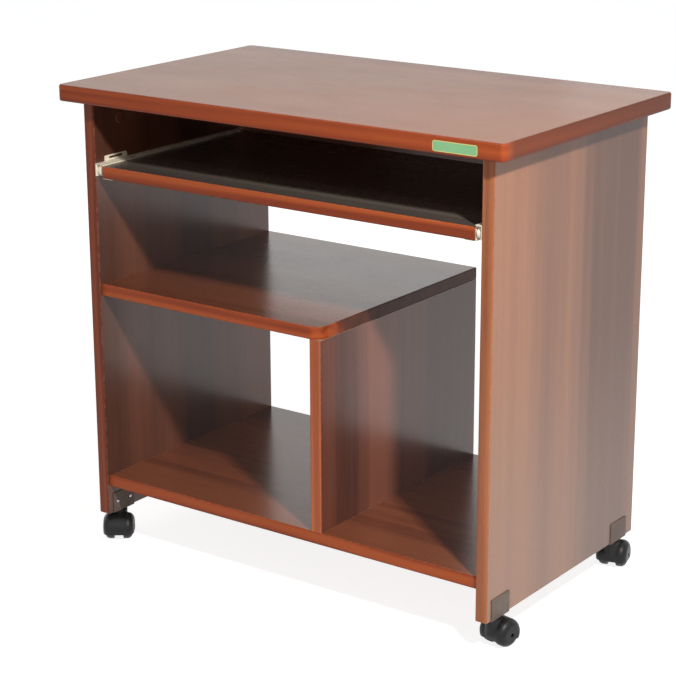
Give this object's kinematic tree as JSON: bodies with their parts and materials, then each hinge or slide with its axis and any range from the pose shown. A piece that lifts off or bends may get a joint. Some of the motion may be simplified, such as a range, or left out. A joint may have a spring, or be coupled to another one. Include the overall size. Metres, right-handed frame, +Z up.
{
  "type": "computer desk",
  "caption": "Laminated computer desk on twin-wheel casters, with a roller-slide keyboard tray, a half-width shelf on a divider and a full-width bottom shelf.",
  "frame": {"origin": "on the floor, under the middle of the desk top", "axes": "+X to the right as seen by the person at the desk, +Y to the back, +Z up; the tray pulls out along -Y"},
  "size_m": [0.8, 0.4752, 0.75],
  "materials": {
    "laminate": "satin laminate with long fine grain",
    "edging": "satin plastic edging in cherry brown",
    "label": "smooth printed film, blank",
    "dowel_wood": "raw beech",
    "zinc": "die-cast zinc",
    "bright_steel": "bright zinc plate",
    "rail_enamel": "cream powder coat",
    "roller_nylon": "smooth white nylon",
    "clip_plastic": "moulded plastic, grey-brown",
    "hood_nylon": "fine-textured black nylon",
    "wheel_nylon": "black nylon tread"
  },
  "bodies": {
    "desk": {"top_panel": "laminate", "top_edge": "edging", "left_side_panel": "laminate", "left_side_edge": "edging", "right_side_panel": "laminate", "right_side_edge": "edging", "back_rail": "laminate", "middle_shelf": "laminate", "middle_shelf_edge": "edging", "divider_panel": "laminate", "divider_edge": "edging", "bottom_shelf": "laminate", "bottom_shelf_edge": "edging", "cam_locks": "zinc", "cam_bolts": "bright_steel", "dowels": "dowel_wood", "front_label": "label", "left_case_rail": "rail_enamel", "right_case_rail": "rail_enamel", "front_rivets": "bright_steel", "case_rail_screws": "bright_steel", "clip_screws": "bright_steel", "front_left_clip": "clip_plastic", "front_right_clip": "clip_plastic", "back_left_clip": "clip_plastic", "back_right_clip": "clip_plastic"},
    "tray": {"keyboard_tray": "laminate", "tray_edge": "edging", "left_tray_rail": "rail_enamel", "right_tray_rail": "rail_enamel", "rear_rivets": "bright_steel", "tray_rail_screws": "bright_steel"},
    "left_front_roller": {"left_front_roller": "roller_nylon"},
    "left_rear_roller": {"left_rear_roller": "roller_nylon"},
    "right_front_roller": {"right_front_roller": "roller_nylon"},
    "right_rear_roller": {"right_rear_roller": "roller_nylon"},
    "front_left_caster": {"front_left_stem": "bright_steel", "front_left_hood": "hood_nylon", "front_left_axle": "bright_steel"},
    "front_left_wheel_a": {"front_left_wheel_a": "wheel_nylon"},
    "front_left_wheel_b": {"front_left_wheel_b": "wheel_nylon"},
    "front_right_caster": {"front_right_stem": "bright_steel", "front_right_hood": "hood_nylon", "front_right_axle": "bright_steel"},
    "front_right_wheel_a": {"front_right_wheel_a": "wheel_nylon"},
    "front_right_wheel_b": {"front_right_wheel_b": "wheel_nylon"},
    "back_left_caster": {"back_left_stem": "bright_steel", "back_left_hood": "hood_nylon", "back_left_axle": "bright_steel"},
    "back_left_wheel_a": {"back_left_wheel_a": "wheel_nylon"},
    "back_left_wheel_b": {"back_left_wheel_b": "wheel_nylon"},
    "back_right_caster": {"back_right_stem": "bright_steel", "back_right_hood": "hood_nylon", "back_right_axle": "bright_steel"},
    "back_right_wheel_a": {"back_right_wheel_a": "wheel_nylon"},
    "back_right_wheel_b": {"back_right_wheel_b": "wheel_nylon"}
  },
  "joints": [
    {"name": "tray_slide", "type": "slide", "parent": "desk", "child": "tray", "axis": [0, -1, 0], "range_m": [0, 0.25]},
    {"name": "left_front_roller_spin", "type": "hinge", "parent": "desk", "child": "left_front_roller", "pos_m": [-0.34465, -0.2015, 0.6165], "axis": [1, 0, 0], "continuous": true},
    {"name": "left_rear_roller_spin", "type": "hinge", "parent": "tray", "child": "left_rear_roller", "pos_m": [-0.34465, 0.1283, 0.6186], "axis": [1, 0, 0], "continuous": true},
    {"name": "right_front_roller_spin", "type": "hinge", "parent": "desk", "child": "right_front_roller", "pos_m": [0.34465, -0.2015, 0.6165], "axis": [1, 0, 0], "continuous": true},
    {"name": "right_rear_roller_spin", "type": "hinge", "parent": "tray", "child": "right_rear_roller", "pos_m": [0.34465, 0.1283, 0.6186], "axis": [1, 0, 0], "continuous": true},
    {"name": "front_left_swivel", "type": "hinge", "parent": "desk", "child": "front_left_caster", "pos_m": [-0.3605, -0.1765, 0.05], "axis": [0, 0, 1], "continuous": true},
    {"name": "front_left_wheel_a_roll", "type": "hinge", "parent": "front_left_caster", "child": "front_left_wheel_a", "pos_m": [-0.35286, -0.18702, 0.02], "axis": [-0.809, -0.5878, 0], "continuous": true},
    {"name": "front_left_wheel_b_roll", "type": "hinge", "parent": "front_left_caster", "child": "front_left_wheel_b", "pos_m": [-0.35286, -0.18702, 0.02], "axis": [-0.809, -0.5878, 0], "continuous": true},
    {"name": "front_right_swivel", "type": "hinge", "parent": "desk", "child": "front_right_caster", "pos_m": [0.3605, -0.1765, 0.05], "axis": [0, 0, 1], "continuous": true},
    {"name": "front_right_wheel_a_roll", "type": "hinge", "parent": "front_right_caster", "child": "front_right_wheel_a", "pos_m": [0.36298, -0.16374, 0.02], "axis": [0.9816, -0.1908, 0], "continuous": true},
    {"name": "front_right_wheel_b_roll", "type": "hinge", "parent": "front_right_caster", "child": "front_right_wheel_b", "pos_m": [0.36298, -0.16374, 0.02], "axis": [0.9816, -0.1908, 0], "continuous": true},
    {"name": "back_left_swivel", "type": "hinge", "parent": "desk", "child": "back_left_caster", "pos_m": [-0.3605, 0.1725, 0.05], "axis": [0, 0, 1], "continuous": true},
    {"name": "back_left_wheel_a_roll", "type": "hinge", "parent": "back_left_caster", "child": "back_left_wheel_a", "pos_m": [-0.35869, 0.15963, 0.02], "axis": [-0.9903, -0.1392, 0], "continuous": true},
    {"name": "back_left_wheel_b_roll", "type": "hinge", "parent": "back_left_caster", "child": "back_left_wheel_b", "pos_m": [-0.35869, 0.15963, 0.02], "axis": [-0.9903, -0.1392, 0], "continuous": true},
    {"name": "back_right_swivel", "type": "hinge", "parent": "desk", "child": "back_right_caster", "pos_m": [0.3605, 0.1725, 0.05], "axis": [0, 0, 1], "continuous": true},
    {"name": "back_right_wheel_a_roll", "type": "hinge", "parent": "back_right_caster", "child": "back_right_wheel_a", "pos_m": [0.35735, 0.18511, 0.02], "axis": [0.9703, 0.2419, 0], "continuous": true},
    {"name": "back_right_wheel_b_roll", "type": "hinge", "parent": "back_right_caster", "child": "back_right_wheel_b", "pos_m": [0.35735, 0.18511, 0.02], "axis": [0.9703, 0.2419, 0], "continuous": true}
  ],
  "couplings": [
    {"joint": "left_front_roller_spin", "follows": "tray_slide", "rad_per_m": 117.65},
    {"joint": "left_rear_roller_spin", "follows": "tray_slide", "rad_per_m": 117.65},
    {"joint": "right_front_roller_spin", "follows": "tray_slide", "rad_per_m": 117.65},
    {"joint": "right_rear_roller_spin", "follows": "tray_slide", "rad_per_m": 117.65}
  ]
}
